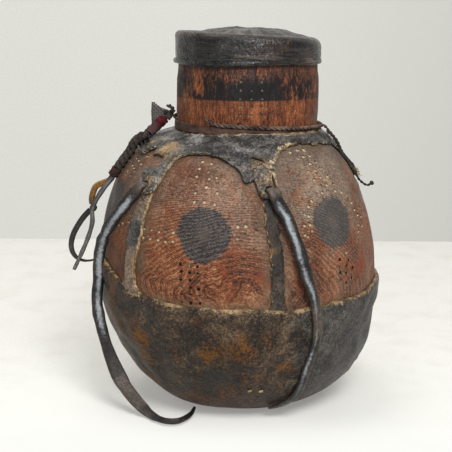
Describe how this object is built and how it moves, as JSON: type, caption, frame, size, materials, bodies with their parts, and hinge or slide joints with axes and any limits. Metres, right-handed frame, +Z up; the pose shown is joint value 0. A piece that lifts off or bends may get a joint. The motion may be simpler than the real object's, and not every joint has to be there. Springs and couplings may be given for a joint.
{
  "type": "milk vessel",
  "caption": "Round-bellied carved wooden milk vessel with a short wide neck, a pull-off rawhide cap, and a rawhide harness of cup, ribs and collar with hanging leather thongs.",
  "frame": {"origin": "middle of the flat foot, on the surface that the vessel stands on, below the neck", "axes": "+Z up through the neck, -Y towards the viewer of the picture, +X to the viewer's right"},
  "size_m": [0.2516, 0.2294, 0.2996],
  "materials": {
    "carved_wood": "oiled, smoke-darkened, worn satin",
    "cap_rawhide": "charcoal, polished by handling",
    "harness_rawhide": "black to brown, worn to tan on the high places",
    "brown_leather": "matt",
    "black_leather": "black with a grey sheen",
    "tan_leather": "matt",
    "dark_fibre": "greasy twisted fibre",
    "grey_fibre": "dry fibre",
    "red_thread": "faded thread"
  },
  "bodies": {
    "vessel_in_harness": {"vessel_body": "carved_wood", "vessel_neck": "carved_wood", "base_cup": "harness_rawhide", "collar": "harness_rawhide", "rib_front": "harness_rawhide", "rib_right": "harness_rawhide", "rib_back": "harness_rawhide", "rib_back_left": "harness_rawhide", "rib_left": "harness_rawhide", "neck_band": "brown_leather", "neck_cord": "dark_fibre", "neck_knot": "dark_fibre", "knot_loop": "dark_fibre", "knot_tab": "grey_fibre", "knot_wrap": "red_thread", "side_braid": "dark_fibre", "braid_whipping": "red_thread", "upper_loop": "tan_leather", "tail_tie": "dark_fibre", "lower_loop": "black_leather", "straight_tail": "grey_fibre", "front_thong": "black_leather", "left_thong": "black_leather", "right_cord": "dark_fibre", "right_cord_strand": "dark_fibre"},
    "cap": {"lid_cap": "cap_rawhide"}
  },
  "joints": [
    {"name": "lid_lift", "type": "slide", "parent": "vessel_in_harness", "child": "cap", "axis": [0, 0, 1], "range_m": [0, 0.15]}
  ]
}
